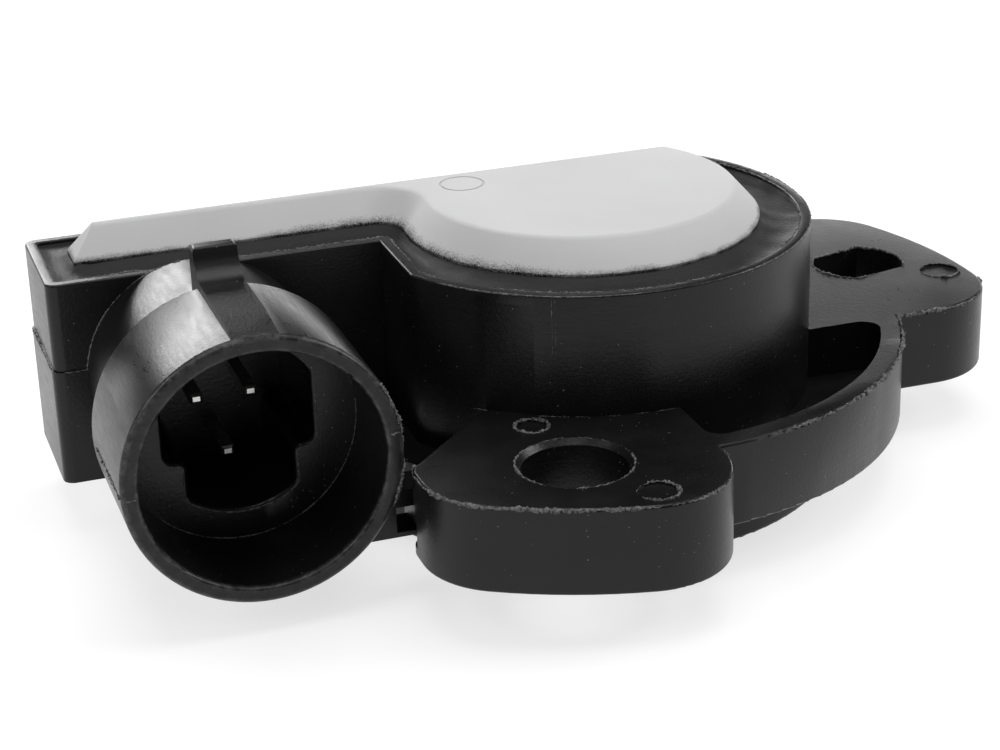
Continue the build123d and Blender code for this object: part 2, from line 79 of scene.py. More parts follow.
def copy_of_node(node, name):
    """New piece with a copy of a node's mesh, its loose triangles merged."""
    piece = bpy.data.objects.new(name, nodes[node].data.copy())
    bpy.context.scene.collection.objects.link(piece)
    piece.data.materials.clear()
    activate(piece)
    bpy.ops.mesh.customdata_custom_splitnormals_clear()
    bpy.ops.object.mode_set(mode="EDIT")
    bpy.ops.mesh.select_all(action="SELECT")
    bpy.ops.mesh.remove_doubles(threshold=MERGE_DISTANCE)
    bpy.ops.mesh.tris_convert_to_quads()
    bpy.ops.object.mode_set(mode="OBJECT")
    return piece


def new_material(name):
    """New node material, its tree and its shader."""
    material = bpy.data.materials.new(name)
    material.use_nodes = True
    return material, material.node_tree, material.node_tree.nodes["Principled BSDF"]


def new_group(name, inputs, outputs):
    """New shader node group with value inputs (name, default) and value outputs (name)."""
    group = bpy.data.node_groups.new(name, "ShaderNodeTree")
    for label, value in inputs:
        socket = group.interface.new_socket(label, in_out="INPUT", socket_type="NodeSocketFloat")
        socket.default_value = value
    for label in outputs:
        group.interface.new_socket(label, in_out="OUTPUT", socket_type="NodeSocketFloat")
    return group, group.nodes.new("NodeGroupInput"), group.nodes.new("NodeGroupOutput")


def add_node(tree, kind, inputs=(), **settings):
    """New node of a tree: its properties by name, and each input as a value or linked from a socket."""
    node = tree.nodes.new(kind)
    for key, value in settings.items():
        setattr(node, key, value)
    for label, source in inputs:
        if isinstance(source, bpy.types.NodeSocket):
            tree.links.new(source, node.inputs[label])
        else:
            node.inputs[label].default_value = source
    return node


def combine(tree, operation, first, second):
    """Result of a sum on two values or sockets, as a socket."""
    return add_node(tree, "ShaderNodeMath", ((0, first), (1, second)), operation=operation).outputs["Value"]


def spread(tree, source, low, high, to_low, to_high):
    """Carries a value from one range to another, clamped, and returns the new socket."""
    limits = (("From Min", low), ("From Max", high), ("To Min", to_low), ("To Max", to_high))
    return add_node(tree, "ShaderNodeMapRange", (("Value", source), *limits)).outputs["Result"]


def blend_colour(tree, mask, first, second):
    """Mixes two colours, each a value or a socket, by a mask. A mix node's colours are 6, 7 and output 2."""
    return add_node(tree, "ShaderNodeMix", ((0, mask), (6, first), (7, second)), data_type="RGBA").outputs[2]


# Moulded skin: clouds of gloss, a fine pebble grain and thin drag lines round the part
moulded_skin, skin_in, skin_out = new_group(
    "moulded_skin",
    (("Cloud Scale", 130.0), ("Grain Scale", 3600.0), ("Drag Scale", 420.0)),
    ("Cloud", "Grain", "Drag"),
)
skin_place = add_node(moulded_skin, "ShaderNodeTexCoord").outputs["Object"]
drag_lines = add_node(
    moulded_skin,
    "ShaderNodeMapping",
    (("Vector", skin_place), ("Rotation", (0.05, -0.04, 0)), ("Scale", (1.0, 1.0, 16.0))),
)
drag_place = drag_lines.outputs["Vector"]
skin_patterns = (("Cloud", skin_place, 4.0), ("Grain", skin_place, 2.0), ("Drag", drag_place, 3.0))
for label, place, detail in skin_patterns:
    scale = skin_in.outputs[label + " Scale"]
    pattern = add_node(
        moulded_skin, "ShaderNodeTexNoise", (("Vector", place), ("Scale", scale), ("Detail", detail))
    )
    moulded_skin.links.new(pattern.outputs["Fac"], skin_out.inputs[label])

# Dust: sparse pale specks of uneven size
dust, dust_in, dust_out = new_group("dust", (("Scale", 900.0), ("Share", 0.5), ("Size", 0.05)), ("Mask",))
dust_place = add_node(dust, "ShaderNodeTexCoord").outputs["Object"]
dust_cells = add_node(
    dust, "ShaderNodeTexVoronoi", (("Vector", dust_place), ("Scale", dust_in.outputs["Scale"]))
)
dust_draw = add_node(dust, "ShaderNodeSeparateColor", (("Color", dust_cells.outputs["Color"]),))
dust_kept = combine(dust, "LESS_THAN", dust_draw.outputs["Red"], dust_in.outputs["Share"])
dust_size = combine(dust, "MULTIPLY", dust_draw.outputs["Green"], dust_in.outputs["Size"])
dust_inside = combine(dust, "LESS_THAN", dust_cells.outputs["Distance"], dust_size)
dust.links.new(combine(dust, "MULTIPLY", dust_kept, dust_inside), dust_out.inputs["Mask"])


def moulded_plastic(name, dark, pale, rough, grain_depth, dust_share):
    """Satin plastic: two close tones, a range of roughness, a grain in millimetres and a share of dust."""
    material, tree, shader = new_material(name)
    skin = add_node(tree, "ShaderNodeGroup", node_tree=moulded_skin)
    specks = add_node(tree, "ShaderNodeGroup", (("Share", dust_share),), node_tree=dust)
    motes = add_node(
        tree, "ShaderNodeGroup", (("Scale", 2100.0), ("Share", dust_share), ("Size", 0.11)), node_tree=dust
    )
    settled = combine(tree, "MAXIMUM", specks.outputs["Mask"], motes.outputs["Mask"])
    tone = blend_colour(tree, spread(tree, skin.outputs["Cloud"], *CLOUD_SPAN, 0.0, 1.0), dark, pale)
    tree.links.new(blend_colour(tree, settled, tone, DUST_GREY), shader.inputs["Base Color"])
    gloss = spread(tree, skin.outputs["Cloud"], *CLOUD_SPAN, *rough)
    drag = spread(tree, skin.outputs["Drag"], *DRAG_SPAN, *DRAG_ROUGH)
    tree.links.new(combine(tree, "ADD", gloss, drag), shader.inputs["Roughness"])
    pebbles = add_node(
        tree,
        "ShaderNodeBump",
        (("Strength", 0.32), ("Distance", grain_depth * MM), ("Height", skin.outputs["Grain"])),
    )
    tree.links.new(pebbles.outputs["Normal"], shader.inputs["Normal"])
    return material


housing_black = moulded_plastic(
    "housing_black", HOUSING_BLACK, HOUSING_BLACK_PALE, HOUSING_ROUGH, grain_depth=0.05, dust_share=0.35
)
tree = housing_black.node_tree
shader = tree.nodes["Principled BSDF"]
shader.inputs["Specular IOR Level"].default_value = HOUSING_SHEEN

# Scuffed mouth with painted edge highlights: the lip's face is mottled pale where the plug has rubbed it,
# brightest along its two edges, where the pale is a painted highlight
place = add_node(tree, "ShaderNodeTexCoord").outputs["Object"]
from_axis = add_node(
    tree, "ShaderNodeVectorMath", ((0, place), (1, (SHROUD_X * MM, 0, SHROUD_Z * MM))), operation="SUBTRACT"
)
across = add_node(
    tree, "ShaderNodeVectorMath", ((0, from_axis.outputs["Vector"]), (1, (1, 0, 1))), operation="MULTIPLY"
)
reach = add_node(
    tree, "ShaderNodeVectorMath", ((0, across.outputs["Vector"]),), operation="LENGTH"
).outputs["Value"]
depth = add_node(tree, "ShaderNodeSeparateXYZ", (("Vector", place),)).outputs["Y"]
scuffs = add_node(
    tree, "ShaderNodeTexNoise", (("Vector", place), ("Scale", 1400.0), ("Detail", 5.0), ("Roughness", 0.7))
)
outer_edge = (SHROUD_RADIUS - 0.5) * MM, (SHROUD_RADIUS - 0.1) * MM
inner_edge = (BORE_RADIUS + 0.05) * MM, (BORE_RADIUS + 0.4) * MM
shroud_end = (SHROUD_RADIUS + 0.1) * MM, (SHROUD_RADIUS + 0.2) * MM
scuff_and_highlight_end = MOUTH_Y * MM, (MOUTH_Y + SCUFF_AND_HIGHLIGHT_DEPTH) * MM
# Mask of the painted edge highlights and scuffs: pale ramps towards the lip's outer and inner edges, mottled
# by the scuff noise
rubbed_and_highlit = combine(
    tree,
    "MAXIMUM",
    spread(tree, reach, *outer_edge, 0.12, 1.0),
    spread(tree, reach, *inner_edge, 0.8, 0.12),
)
for limit in (
    spread(tree, scuffs.outputs["Fac"], 0.4, 0.66, 0.1, 1.0),
    spread(tree, depth, *scuff_and_highlight_end, 1.0, 0.0),
    spread(tree, reach, *shroud_end, 1.0, 0.0),
):
    rubbed_and_highlit = combine(tree, "MULTIPLY", rubbed_and_highlit, limit)
black_skin = shader.inputs["Base Color"].links[0].from_socket
# Paints the lip's scuffs and edge highlights pale over the black skin
tree.links.new(blend_colour(tree, rubbed_and_highlit, black_skin, SCUFF_AND_HIGHLIGHT_GREY), shader.inputs["Base Color"])

housing = copy_of_node("housing", "housing_moulding")
bpy.ops.object.shade_smooth_by_angle(angle=SMOOTH_ANGLE)
housing.data.materials.append(housing_black)
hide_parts("housing")
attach(housing, "sensor_body")

# Flash: thin torn skin of the same nylon, squeezed out where the parts of the mould meet.
# It lies along the flange's edge, round holes and ejector marks, at the drum's foot, rim and groove,
# and on the shroud, the arm and the socket's floor. It breaks off unevenly and is pale where torn.
FLASH_STEP = 0.13
FLASH_FEWEST_POINTS = 4
FLASH_START = 0.8
FLASH_FULLEST = 1.3
FLASH_DRIFT = 0.22
FLASH_UNEVEN = (0.45, 1.35)
FLASH_DARK = (0.025, 0.025, 0.025, 1)
FLASH_PALE = (0.15, 0.15, 0.15, 1)
FLASH_ROUGH = 0.6
ON_LEVEL = 0.01
FLAT_FACING = 0.99
FLANGE_TOP_Z = 7.33
FLANGE_EDGE = 0.3
FLANGE_FLASH_END_Y = -2.0
FRONT_HOLE = (-10.7, -26.7, 4.7)
REAR_SLOT = (29.7, 5.0, 4.5)
EJECTOR_MARKS = ((-6.6, -33.9, 1.65), (-11.5, -18.9, 1.4), (35.7, 0.1, 1.8))
DRUM_RADIUS = 20.0
DRUM_FOOT_ARCS = ((-121, -88), (-137, -133.5))
RIM_Z = 17.8
RIM_ARC = (-146, 12)
GROOVE_EDGES = (-117.3, -116.5)
GROOVE_FLASH_LENGTH = 5.0
BAND_END_Y = -10.1
BAND_SPLIT = 182
LIP_SPLITS = ((183, 0.4, 1.1), (8, 0.3, 1.1))
LIP_ARC = range(-25, 35, 3)
NECK_RADIUS = 9.6
NECK_ARC = range(96, 214, 3)
SOCKET_FLOOR_Y = -13.37
ARM_FRONT_Y = 0.5
ARM_BACK_Y = 12.8
ARM_STEP = 0.15
ARM_STEP_X = -46.75
ARM_STEP_Z = 10.1


def joined_runs(mesh, pairs):
    """Runs of joined edges, from pairs of vertex numbers, as lists of points in order."""
    links = {}
    for first, second in pairs:
        links.setdefault(first, set()).add(second)
        links.setdefault(second, set()).add(first)
    runs = []
    while links:
        ends = sorted(v for v, near in links.items() if len(near) == 1)
        here = ends[0] if ends else min(links)
        run = [here]
        while links[here]:
            there = min(links[here])
            links[here].discard(there)
            links[there].discard(here)
            run.append(there)
            here = there
        links = {v: near for v, near in links.items() if near}
        runs.append([mesh.vertices[v].co.copy() for v in run])
    return runs


def housing_edge(axis, test):
    """Runs of edges of the housing's walls along an axis, at points in millimetres that pass a test."""
    on_edge = {vertex.index for vertex in housing.data.vertices if test(vertex.co / MM)}
    walls = [face for face in housing.data.polygons if abs(face.normal[axis]) < FLAT_FACING]
    pairs = [pair for face in walls for pair in face.edge_keys if on_edge.issuperset(pair)]
    return joined_runs(housing.data, pairs)


def arc_points(centre_x, centre_y, z, radius, start, end):
    """Points along a level arc, from millimetres and degrees to metres."""
    count = max(8, int(abs(end - start) / 2))
    turns = [math.radians(start + (end - start) * i / count) for i in range(count + 1)]
    return [
        Vector((centre_x + radius * math.cos(a), centre_y + radius * math.sin(a), z)) * MM for a in turns
    ]


def shroud_point(angle, radius, y):
    """Point round the connector's axis, from degrees and millimetres to metres."""
    turn = math.radians(angle)
    return Vector((SHROUD_X + radius * math.cos(turn), y, SHROUD_Z + radius * math.sin(turn))) * MM


def spaced(points, step):
    """The same line, with a point at every step of its length."""
    line = [points[0]]
    left = step
    for start, end in zip(points, points[1:]):
        run = (end - start).length
        while run >= left:
            start = start + (end - start).normalized() * left
            run -= left
            left = step
            line.append(start)
        left -= run
    return line


def torn_line(name, lines, thickness, jitter, cover_share, seed, lift=0.0):
    """Uneven strings of flash along lines of points, with gaps, as one mesh. Its sizes are in millimetres."""
    draw = random.Random(seed)
    data = bpy.data.curves.new(name, "CURVE")
    data.dimensions = "3D"
    data.bevel_depth = thickness * MM
    data.bevel_resolution = 1
    data.use_fill_caps = True
    level = FLASH_START
    run = []

    def close_run():
        if len(run) >= FLASH_FEWEST_POINTS:
            spline = data.splines.new("POLY")
            spline.points.add(len(run) - 1)
            for point, (place, size) in zip(spline.points, run):
                point.co = (*place, 1)
                point.radius = size
        run.clear()

    for line in lines:
        for place in spaced(line, FLASH_STEP * MM):
            level = min(FLASH_FULLEST, max(0.0, level + draw.uniform(-FLASH_DRIFT, FLASH_DRIFT)))
            if level < 1 - cover_share:
                close_run()
                continue
            shake = Vector([draw.uniform(-jitter * MM, jitter * MM) for axis in range(3)])
            run.append((place + Vector((0, 0, lift * MM)) + shake, level * draw.uniform(*FLASH_UNEVEN)))
        close_run()
    piece = bpy.data.objects.new(name, data)
    bpy.context.scene.collection.objects.link(piece)
    activate(piece)
    bpy.ops.object.convert(target="MESH")
    piece = bpy.context.object
    bpy.ops.object.shade_smooth_by_angle(angle=SMOOTH_ANGLE)
    piece.data.materials.clear()
    piece.data.materials.append(torn_nylon)
    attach(piece, "sensor_body")


torn_nylon, tree, shader = new_material("torn_nylon")
skin = add_node(tree, "ShaderNodeGroup", (("Grain Scale", 2600.0),), node_tree=moulded_skin)
torn_mask = spread(tree, skin.outputs["Grain"], 0.35, 0.65, 0.0, 1.0)
tree.links.new(blend_colour(tree, torn_mask, FLASH_DARK, FLASH_PALE), shader.inputs["Base Color"])
shader.inputs["Roughness"].default_value = FLASH_ROUGH

flange_lines = housing_edge(
    2,
    lambda p: abs(p.z - FLANGE_TOP_Z + FLANGE_EDGE) < ON_LEVEL
    and p.xy.length > DRUM_RADIUS + 0.3
    and p.y < FLANGE_FLASH_END_Y,
)
torn_line(
    "flange_flash",
    flange_lines,
    thickness=0.17,
    jitter=0.07,
    cover_share=0.85,
    seed=11,
    lift=0.7 * FLANGE_EDGE,
)

slot_x, slot_y, slot_radius = REAR_SLOT
hole_lines = housing_edge(
    2,
    lambda p: abs(p.z - FLANGE_TOP_Z) < ON_LEVEL
    and math.hypot(p.x - slot_x, p.y - slot_y) < slot_radius,
)
hole_x, hole_y, hole_radius = FRONT_HOLE
hole_lines.append(arc_points(hole_x, hole_y, FLANGE_TOP_Z, hole_radius, 0, 360))
torn_line("hole_flash", hole_lines, thickness=0.11, jitter=0.05, cover_share=0.92, seed=23)

mark_lines = [arc_points(x, y, FLANGE_TOP_Z, radius, 20, 380) for x, y, radius in EJECTOR_MARKS]
torn_line("mark_flash", mark_lines, thickness=0.14, jitter=0.06, cover_share=0.97, seed=47)

foot_lines = [arc_points(0, 0, FLANGE_TOP_Z, DRUM_RADIUS + 0.02, *arc) for arc in DRUM_FOOT_ARCS]
foot_lines.append(arc_points(0, 0, RIM_Z - 0.06, DRUM_RADIUS - 0.05, *RIM_ARC))
torn_line("drum_foot_flash", foot_lines, thickness=0.06, jitter=0.015, cover_share=0.95, seed=31)

groove_lines = [
    [arc_points(0, 0, z, DRUM_RADIUS, angle, angle)[0] for z in (RIM_Z - GROOVE_FLASH_LENGTH, RIM_Z - 0.2)]
    for angle in GROOVE_EDGES
]
torn_line("groove_flash", groove_lines, thickness=0.028, jitter=0.012, cover_share=0.95, seed=33)

split_lines = [
    [shroud_point(BAND_SPLIT, SHROUD_RADIUS, y) for y in (MOUTH_Y + 0.4, BAND_END_Y - 0.4)],
    *[
        [shroud_point(angle, SHROUD_RADIUS - inset, MOUTH_Y) for inset in insets]
        for angle, *insets in LIP_SPLITS
    ],
    [shroud_point(angle, SHROUD_RADIUS - 0.1, MOUTH_Y + 0.1) for angle in LIP_ARC],
]
torn_line("shroud_flash", split_lines, thickness=0.12, jitter=0.07, cover_share=0.7, seed=37)

seam_lines = [
    [shroud_point(angle, NECK_RADIUS, ARM_FRONT_Y) for angle in NECK_ARC],
    [Vector((ARM_STEP_X, y, ARM_STEP_Z)) * MM for y in (ARM_BACK_Y - 1, ARM_FRONT_Y + 0.8)],
    [Vector((x, ARM_FRONT_Y - ARM_STEP, ARM_STEP_Z)) * MM for x in (ARM_STEP_X + 1, ARM_STEP_X + 3.5)],
]
torn_line("arm_flash", seam_lines, thickness=0.08, jitter=0.03, cover_share=0.95, seed=41)

socket_lines = housing_edge(
    1,
    lambda p: abs(p.y - SOCKET_FLOOR_Y) < ON_LEVEL
    and math.hypot(p.x - SHROUD_X, p.z - SHROUD_Z) < BORE_RADIUS + 0.1,
)
torn_line("socket_flash", socket_lines, thickness=0.08, jitter=0.02, cover_share=0.75, seed=43)

# Terminals: three blades of tin-plated brass, moulded into the housing with their tips in the socket.
# They are stamped from strip, so the plate is bright with faint lines along the blade.
TIN_DULL = (0.52, 0.52, 0.5, 1)
TIN_BRIGHT = (0.8, 0.79, 0.77, 1)
TIN_ROUGH = (0.28, 0.45)
DRAWN_SPAN = (0.3, 0.7)


def metal_finish(name, dull, bright, rough):
    """Plain metal with clouds between two tones and fine drawn lines in its gloss."""
    material, tree, shader = new_material(name)
    skin = add_node(
        tree, "ShaderNodeGroup", (("Cloud Scale", 700.0), ("Drag Scale", 2400.0)), node_tree=moulded_skin
    )
    tone = spread(tree, skin.outputs["Cloud"], *CLOUD_SPAN, 0.0, 1.0)
    tree.links.new(blend_colour(tree, tone, dull, bright), shader.inputs["Base Color"])
    tree.links.new(spread(tree, skin.outputs["Drag"], *DRAWN_SPAN, *rough), shader.inputs["Roughness"])
    shader.inputs["Metallic"].default_value = 1.0
    return material


def finish_node(node, material):
    """Gives a node that stays as it is a finish."""
    for place in nodes[node].material_slots:
        place.material = material


tin_plate = metal_finish("tin_plate", TIN_DULL, TIN_BRIGHT, TIN_ROUGH)
for node in ("terminal_supply", "terminal_signal", "terminal_ground"):
    finish_node(node, tin_plate)

# Shaft seal: a moulded ring of black nitrile rubber, pressed into the housing from below.
# It keeps fuel vapour off the contacts, and its skin is dull with a little bloom.
RUBBER_BLACK = (0.014, 0.014, 0.014, 1)
RUBBER_BLOOM = (0.035, 0.035, 0.034, 1)
RUBBER_ROUGH = (0.6, 0.75)
seal_rubber = moulded_plastic(
    "seal_rubber", RUBBER_BLACK, RUBBER_BLOOM, RUBBER_ROUGH, grain_depth=0.06, dust_share=0.1
)
finish_node("shaft_seal", seal_rubber)

# Return spring: a torsion coil of drawn steel wire round the bearing hub.
# One leg sits in the housing and the other in the rotor, so the coil twists when the rotor turns.
WIRE_DULL = (0.28, 0.28, 0.29, 1)
WIRE_BRIGHT = (0.5, 0.5, 0.51, 1)
WIRE_ROUGH = (0.25, 0.4)
WIRE_SMOOTH_ANGLE = math.radians(60)
spring = copy_of_node("return_spring", "return_coil")
bpy.ops.object.shade_smooth_by_angle(angle=WIRE_SMOOTH_ANGLE)
spring.data.materials.append(metal_finish("spring_wire", WIRE_DULL, WIRE_BRIGHT, WIRE_ROUGH))
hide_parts("return_spring")
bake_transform(spring)

# Rotor: a barrel of moulded acetal with a drive slot below and a disc above, in the housing's bearing.
# The throttle shaft's flat end turns it against the return spring.
ROTOR_GREY = (0.045, 0.045, 0.047, 1)
ROTOR_GREY_PALE = (0.065, 0.065, 0.067, 1)
ROTOR_ROUGH = (0.35, 0.45)
rotor_acetal = moulded_plastic(
    "rotor_acetal", ROTOR_GREY, ROTOR_GREY_PALE, ROTOR_ROUGH, grain_depth=0.03, dust_share=0.05
)
finish_node("rotor", rotor_acetal)

# Wiper: a stamped spring of copper-nickel alloy, staked to the rotor's disc.
# Its two fingers bridge the tracks on the board.
WIPER_DULL = (0.5, 0.4, 0.24, 1)
WIPER_BRIGHT = (0.78, 0.66, 0.42, 1)
WIPER_ROUGH = (0.25, 0.4)
finish_node("wiper", metal_finish("wiper_alloy", WIPER_DULL, WIPER_BRIGHT, WIPER_ROUGH))

# Element board: a plate of off-white ceramic on the housing's ledge.
# The two printed tracks on its underside are fired on, and solder holds it to the terminals.
CERAMIC = (0.66, 0.64, 0.58, 1)
CERAMIC_PALE = (0.78, 0.76, 0.7, 1)
CARBON = (0.02, 0.02, 0.022, 1)
CARBON_PALE = (0.045, 0.045, 0.048, 1)
BOARD_ROUGH = (0.5, 0.65)
SILVER_DULL = (0.55, 0.55, 0.56, 1)
SILVER_BRIGHT = (0.75, 0.75, 0.76, 1)
SILVER_ROUGH = (0.35, 0.5)
SOLDER_DULL = (0.45, 0.45, 0.46, 1)
SOLDER_BRIGHT = (0.66, 0.66, 0.68, 1)
SOLDER_ROUGH = (0.3, 0.5)
board_ceramic = moulded_plastic(
    "board_ceramic", CERAMIC, CERAMIC_PALE, BOARD_ROUGH, grain_depth=0.03, dust_share=0.02
)
carbon_ink = moulded_plastic(
    "carbon_ink", CARBON, CARBON_PALE, BOARD_ROUGH, grain_depth=0.03, dust_share=0.0
)
finish_node("element_board", board_ceramic)
finish_node("resistive_track", carbon_ink)
finish_node("collector_track", metal_finish("silver_ink", SILVER_DULL, SILVER_BRIGHT, SILVER_ROUGH))
finish_node("solder_joints", metal_finish("dull_solder", SOLDER_DULL, SOLDER_BRIGHT, SOLDER_ROUGH))

# Cover: a moulded cap with a sloping dome, dropped on the housing's ledge over the board.
# It is pale grey with a powdery satin skin. The black compound has crept up its foot in fine grains,
# further in the corner between dome and arm than elsewhere.
COVER_GREY = (0.55, 0.55, 0.555, 1)
COVER_GREY_PALE = (0.59, 0.59, 0.595, 1)
COVER_ROUGH = 0.6
COVER_SHEEN = 0.15
COMPOUND_BLACK = (0.012, 0.012, 0.012, 1)
CREEP_FOOT_Z = 17.75
CREEP_TOP_Z = 18.15
CREEP_ARM_X = (-27 * MM, -17 * MM)
CREEP_ARM_SHARE = (0.4, 1.0)
CREEP_DOME_X = (-12 * MM, -2 * MM)
CREEP_DOME_HEIGHT = (1.7 * MM, 0.6 * MM)
CREEP_RISE = 0.22
WAVE_SPAN = (0.25, 0.75)
WAVE_HEIGHT = 0.2 * MM

cover_grey, tree, shader = new_material("cover_grey")
skin = add_node(
    tree, "ShaderNodeGroup", (("Cloud Scale", 90.0), ("Grain Scale", 5200.0)), node_tree=moulded_skin
)
cover_mask = spread(tree, skin.outputs["Cloud"], *CLOUD_SPAN, 0.0, 1.0)
cover_skin = blend_colour(tree, cover_mask, COVER_GREY, COVER_GREY_PALE)
place = add_node(tree, "ShaderNodeTexCoord").outputs["Object"]
along = add_node(tree, "ShaderNodeSeparateXYZ", (("Vector", place),)).outputs
grains = add_node(
    tree, "ShaderNodeTexNoise", (("Vector", place), ("Scale", 8000.0), ("Detail", 2.0), ("Roughness", 0.6))
)
wave = add_node(tree, "ShaderNodeTexNoise", (("Vector", place), ("Scale", 420.0), ("Detail", 3.0)))
creep_width = combine(
    tree,
    "MULTIPLY",
    spread(tree, along["X"], *CREEP_ARM_X, *CREEP_ARM_SHARE),
    spread(tree, along["X"], *CREEP_DOME_X, *CREEP_DOME_HEIGHT),
)
grain_height = combine(tree, "MULTIPLY", combine(tree, "SUBTRACT", grains.outputs["Fac"], 0.5), creep_width)
wave_height = spread(tree, wave.outputs["Fac"], *WAVE_SPAN, -WAVE_HEIGHT, WAVE_HEIGHT)
wavy_level = combine(tree, "SUBTRACT", along["Z"], wave_height)
creep_level = combine(tree, "SUBTRACT", wavy_level, grain_height)
creep_top = add_node(
    tree,
    "ShaderNodeMath",
    ((0, creep_width), (1, CREEP_RISE), (2, CREEP_TOP_Z * MM)),
    operation="MULTIPLY_ADD",
)
creep_mask = spread(tree, creep_level, CREEP_FOOT_Z * MM, creep_top.outputs["Value"], 1.0, 0.0)
tree.links.new(blend_colour(tree, creep_mask, cover_skin, COMPOUND_BLACK), shader.inputs["Base Color"])
shader.inputs["Roughness"].default_value = COVER_ROUGH
shader.inputs["Specular IOR Level"].default_value = COVER_SHEEN
powder = add_node(
    tree, "ShaderNodeBump", (("Strength", 0.22), ("Distance", 0.03 * MM), ("Height", skin.outputs["Grain"]))
)
tree.links.new(powder.outputs["Normal"], shader.inputs["Normal"])

cover = copy_of_node("cover", "cover_cap")
bpy.ops.object.shade_smooth_by_angle(angle=SMOOTH_ANGLE)
cover.data.materials.append(cover_grey)
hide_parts("cover")
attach(cover, "sensor_body")

# Sealant: black potting compound poured into the moat round the cover, up to just below the rim.
# It has set with a hollow, lumpy surface that climbs the cover's foot, duller towards the cover.
# A torn string of the housing's flash runs along the rim.
COMPOUND_BLACK_PALE = (0.02, 0.02, 0.02, 1)
COMPOUND_ROUGH = (0.36, 0.5)
COMPOUND_DULL_SPAN = (0.25, 0.8)
COMPOUND_DULLED = 0.25
SEALANT_SMOOTH_ANGLE = math.radians(50)
SEALANT_TOP_Z = 17.75
SEALANT_FACING_UP = 0.9
SEALANT_CUTS = 8
SEALANT_RIM_Z = 17.5
SEALANT_HOLLOW = 0.22
SEALANT_CLIMB = 0.4
SEALANT_CLIMB_POWER = 6
SEALANT_LUMP = 0.07
SEALANT_LUMP_SPAN = 2.2
SEALANT_TUCK = 0.35
SHORE_STEP = 0.15
COVER_SHORE_SHARE = 0.97

sealant = copy_of_node("cover_sealant", "sealant_bead")
bpy.ops.object.mode_set(mode="EDIT")
bpy.ops.mesh.select_mode(type="FACE")
bpy.ops.mesh.select_all(action="DESELECT")
bpy.ops.object.mode_set(mode="OBJECT")
edge_uses = {}
for face in sealant.data.polygons:
    face.select = face.normal.z > SEALANT_FACING_UP
    if face.select:
        for pair in face.edge_keys:
            edge_uses[pair] = edge_uses.get(pair, 0) + 1
shores = joined_runs(sealant.data, [pair for pair, uses in edge_uses.items() if uses == 1])
rim_shore, cover_shore = sorted(shores, key=lambda shore: min(p.x for p in shore))
bpy.ops.object.mode_set(mode="EDIT")
bpy.ops.mesh.subdivide(number_cuts=SEALANT_CUTS)
bpy.ops.object.mode_set(mode="OBJECT")


def shore_finder(shore):
    """Finder of the nearest point on a shore line."""
    line = spaced(shore, SHORE_STEP * MM)
    finder = kdtree.KDTree(len(line))
    for number, place in enumerate(line):
        finder.insert(place, number)
    finder.balance()
    return finder


crossing = sealant.data.attributes.new("shore", "FLOAT", "POINT")
rim_finder = shore_finder(rim_shore)
cover_finder = shore_finder(cover_shore)
for vertex in sealant.data.vertices:
    if abs(vertex.co.z / MM - SEALANT_TOP_Z) < ON_LEVEL:
        rim_point, number, from_rim = rim_finder.find(vertex.co)
        from_cover = cover_finder.find(vertex.co)[2]
        share = from_rim / (from_rim + from_cover)
        crossing.data[vertex.index].value = share
        if share > COVER_SHORE_SHARE:
            vertex.co += (vertex.co - rim_point).normalized() * SEALANT_TUCK * MM
        hollow = 4 * SEALANT_HOLLOW * share * (1 - share)
        lump = SEALANT_LUMP * noise.noise(vertex.co / (SEALANT_LUMP_SPAN * MM))
        climb = SEALANT_CLIMB * share**SEALANT_CLIMB_POWER
        vertex.co.z = (SEALANT_RIM_Z - hollow + climb + lump) * MM
bpy.ops.object.shade_smooth_by_angle(angle=SEALANT_SMOOTH_ANGLE)

compound = moulded_plastic(
    "potting_compound",
    COMPOUND_BLACK,
    COMPOUND_BLACK_PALE,
    COMPOUND_ROUGH,
    grain_depth=0.12,
    dust_share=0.12,
)
tree = compound.node_tree
shader = tree.nodes["Principled BSDF"]
shader.inputs["Specular IOR Level"].default_value = HOUSING_SHEEN
compound_gloss = shader.inputs["Roughness"].links[0].from_socket
to_cover = add_node(tree, "ShaderNodeAttribute", attribute_name="shore").outputs["Fac"]
dulled = spread(tree, to_cover, *COMPOUND_DULL_SPAN, 0.0, COMPOUND_DULLED)
tree.links.new(combine(tree, "ADD", compound_gloss, dulled), shader.inputs["Roughness"])
sealant.data.materials.append(compound)
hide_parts("cover_sealant")
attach(sealant, "sensor_body")
torn_line("rim_flash", [rim_shore], thickness=0.08, jitter=0.07, cover_share=0.6, seed=59, lift=-0.02)

# Floor: a plain white table that the sensor stands on, with its spigot down.
# It shows white to the lens and in reflections, keeps the sensor's soft shadow, and is clear from below.
FLOOR_SPAN = 60.0
SPIGOT_BOTTOM_Z = -4.95
FLOOR_GAP = 0.02
FLOOR_PAINT = (0.8, 0.8, 0.8, 1)
FLOOR_SHADE = (0.38, 0.38, 0.38, 1)
FLOOR_GLOW = 0.7

